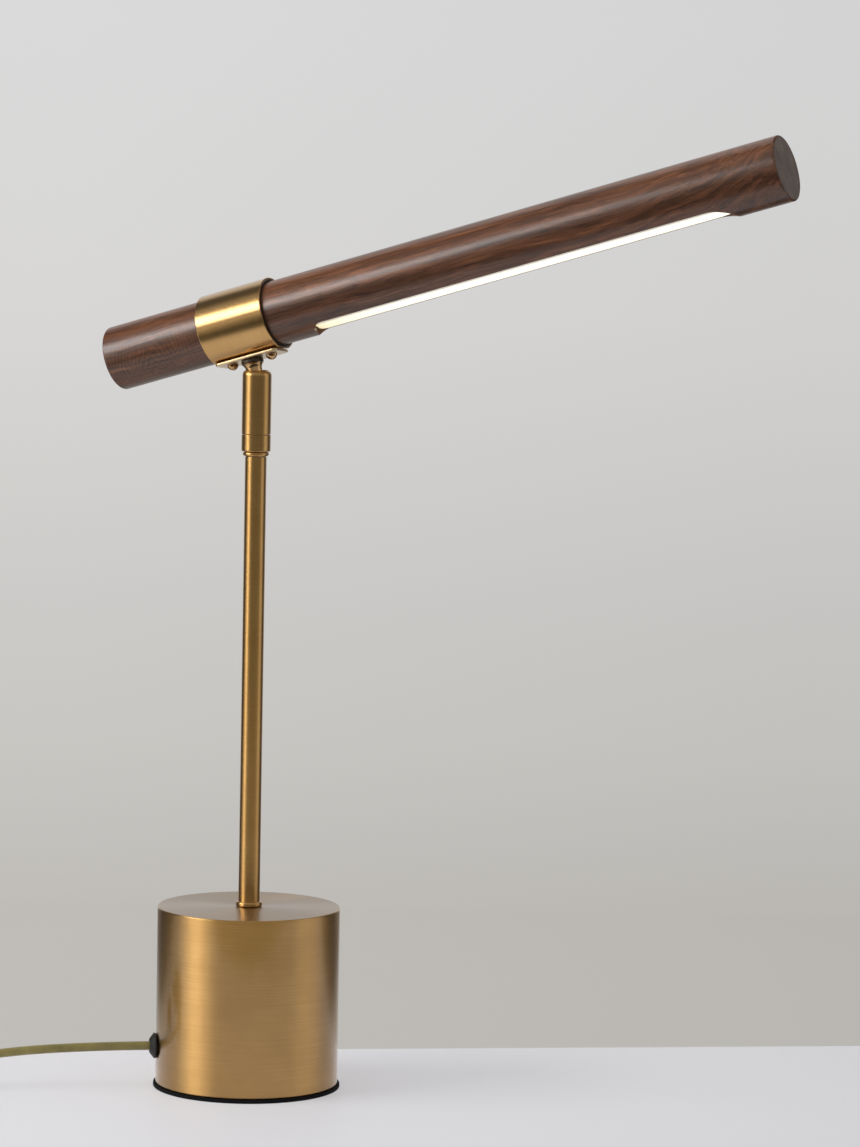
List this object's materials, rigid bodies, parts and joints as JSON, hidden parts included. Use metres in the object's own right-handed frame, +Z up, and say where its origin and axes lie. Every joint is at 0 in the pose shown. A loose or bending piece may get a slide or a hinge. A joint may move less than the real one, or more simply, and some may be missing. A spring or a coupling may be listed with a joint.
{
  "type": "table lamp",
  "caption": "Table lamp with a weighted brass drum base, thin stem, three-way swivel and a wooden bar head with a warm strip light on its underside.",
  "frame": {"origin": "centre of the foot pad's underside, on the table", "axes": "+Z up along the stem; the mains lead leaves the drum towards -X; the long end of the head points towards +X and -Y at rest"},
  "size_m": [0.6503, 0.1999, 0.5235],
  "materials": {
    "brass": "satin, brushed, lacquered",
    "dark_brass": "darkened",
    "steel": "zinc plated",
    "iron": "as cast",
    "rubber": "matte",
    "walnut": "satin oil",
    "opal": "opal, lit from behind",
    "aluminium": "mill",
    "board": "white solder mask",
    "nylon": "moulded",
    "black_plastic": "fine spark texture",
    "cord_sheath": "olive gold, slightly translucent",
    "lead_sheath": "plain"
  },
  "bodies": {
    "base": {"foot_pad": "rubber", "bottom_plate": "steel", "spacer_pillar_1": "steel", "spacer_pillar_2": "steel", "spacer_pillar_3": "steel", "bottom_plate_screw_1": "steel", "bottom_plate_screw_2": "steel", "bottom_plate_screw_3": "steel", "base_shell": "brass", "base_weight": "iron", "weight_washer": "steel", "weight_nut": "steel", "base_nipple": "steel", "cord_grommet": "rubber", "cord_clamp": "nylon", "clamp_screw_1": "steel", "clamp_screw_2": "steel", "led_driver": "nylon", "cord_inner": "cord_sheath", "stem_foot_collar": "brass", "stem_tube": "brass", "top_nipple": "steel", "bead_ring": "brass", "swivel_sleeve": "brass", "pan_circlip": "steel", "stem_lead": "lead_sheath", "switch_lower_shell": "black_plastic", "switch_upper_shell": "black_plastic", "switch_screw_1": "steel", "switch_screw_2": "steel", "plug_body": "black_plastic", "plug_pin_left": "steel", "plug_pin_right": "steel", "cord_lead_in": "cord_sheath", "cord_link": "cord_sheath", "cord_coil": "cord_sheath", "cord_tail": "cord_sheath"},
    "cup": {"swivel_cup": "brass", "ball_seat": "nylon", "seat_spring": "steel", "cup_lead": "lead_sheath"},
    "neck": {"swivel_neck": "brass", "tilt_pin_left": "steel", "tilt_pin_right": "steel", "neck_washer": "dark_brass", "neck_nut": "steel", "neck_lead": "lead_sheath"},
    "head": {"saddle_plate": "brass", "head_ring": "brass", "ring_liner": "rubber", "saddle_screw_left": "brass", "saddle_screw_right": "brass", "wood_bar": "walnut", "led_channel": "aluminium", "led_board": "board", "diffuser": "opal", "head_lead": "lead_sheath"},
    "rocker": {"switch_rocker": "black_plastic"}
  },
  "joints": [
    {"name": "pan", "type": "hinge", "parent": "base", "child": "cup", "pos_m": [0, 0, 0.3852], "axis": [0, 0, 1], "range_deg": [-170, 170]},
    {"name": "tilt", "type": "hinge", "parent": "cup", "child": "neck", "pos_m": [0, 0, 0.3852], "axis": [-0.6947, -0.7193, 0], "range_deg": [-25, 57.9]},
    {"name": "turn", "type": "hinge", "parent": "neck", "child": "head", "pos_m": [0, 0, 0.3852], "axis": [-0.2115, 0.2043, 0.9558], "range_deg": [-150, 150]},
    {"name": "switch_rock", "type": "hinge", "parent": "base", "child": "rocker", "pos_m": [-0.258, -0.026, 0.0152], "axis": [0, 1, 0], "range_deg": [0, 16]}
  ]
}
